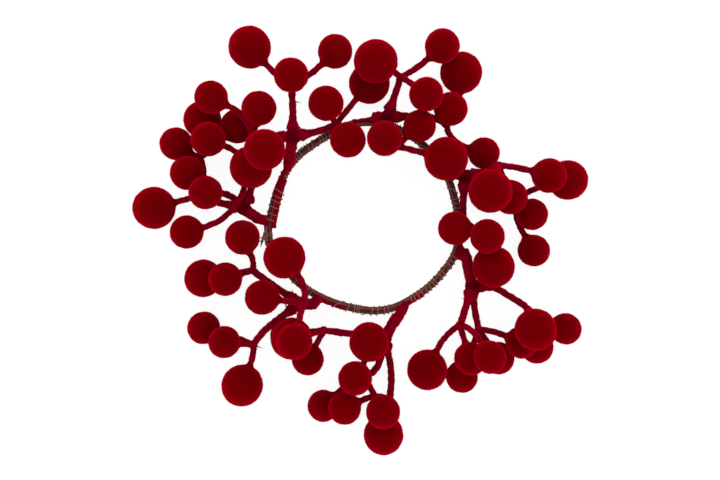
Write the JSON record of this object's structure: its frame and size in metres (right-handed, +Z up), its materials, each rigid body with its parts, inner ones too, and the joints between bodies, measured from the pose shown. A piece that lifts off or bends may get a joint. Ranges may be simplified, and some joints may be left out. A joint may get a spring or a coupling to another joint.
{
  "type": "candle ring",
  "caption": "Wreath of wired, flocked red berries on forked stems, bound with fine wire to a paper-covered wire hoop that lies round the foot of a pillar candle.",
  "frame": {"origin": "on the table surface, under the centre of the hoop", "axes": "+Z up from the table; seen from above, +X to the right and +Y to the back, as in the picture"},
  "size_m": [0.2176, 0.2024, 0.0503],
  "materials": {
    "flocked_berry": "deep red velvet flock",
    "flocked_stem": "wine red velvet flock, a little fuzzy",
    "brown_paper": "wound brown florist's paper",
    "binding_wire": "brown lacquered fine wire",
    "core_wire": "dull drawn steel"
  },
  "bodies": {
    "root": {"hoop_wire_1": "core_wire", "hoop_paper_1": "brown_paper", "hoop_wire_2": "core_wire", "hoop_paper_2": "brown_paper", "hoop_wire_3": "core_wire", "hoop_paper_3": "brown_paper", "binding_wire_1": "binding_wire", "binding_wire_2": "binding_wire", "binding_wire_3": "binding_wire", "binding_wire_4": "binding_wire", "binding_wire_5": "binding_wire", "binding_wire_6": "binding_wire", "binding_wire_7": "binding_wire", "sprig_1_trunk": "flocked_stem", "sprig_1_arm_1": "flocked_stem", "sprig_1_arm_2": "flocked_stem", "sprig_1_arm_3": "flocked_stem", "sprig_1_large_berries": "flocked_berry", "sprig_1_small_berries": "flocked_berry", "sprig_2_trunk": "flocked_stem", "sprig_2_arm_1": "flocked_stem", "sprig_2_arm_2": "flocked_stem", "sprig_2_arm_3": "flocked_stem", "sprig_2_large_berries": "flocked_berry", "sprig_2_small_berries": "flocked_berry", "sprig_3_trunk": "flocked_stem", "sprig_3_arm_1": "flocked_stem", "sprig_3_arm_2": "flocked_stem", "sprig_3_arm_3": "flocked_stem", "sprig_3_large_berries": "flocked_berry", "sprig_3_small_berries": "flocked_berry", "sprig_4_trunk": "flocked_stem", "sprig_4_arm_1": "flocked_stem", "sprig_4_arm_2": "flocked_stem", "sprig_4_arm_3": "flocked_stem", "sprig_4_large_berries": "flocked_berry", "sprig_4_small_berries": "flocked_berry", "sprig_5_trunk": "flocked_stem", "sprig_5_arm_1": "flocked_stem", "sprig_5_arm_2": "flocked_stem", "sprig_5_arm_3": "flocked_stem", "sprig_5_large_berries": "flocked_berry", "sprig_5_small_berries": "flocked_berry", "sprig_6_trunk": "flocked_stem", "sprig_6_arm_1": "flocked_stem", "sprig_6_arm_2": "flocked_stem", "sprig_6_arm_3": "flocked_stem", "sprig_6_large_berries": "flocked_berry", "sprig_6_small_berries": "flocked_berry", "sprig_7_trunk": "flocked_stem", "sprig_7_arm_1": "flocked_stem", "sprig_7_arm_2": "flocked_stem", "sprig_7_arm_3": "flocked_stem", "sprig_7_large_berries": "flocked_berry", "sprig_7_small_berries": "flocked_berry"}
  },
  "joints": []
}
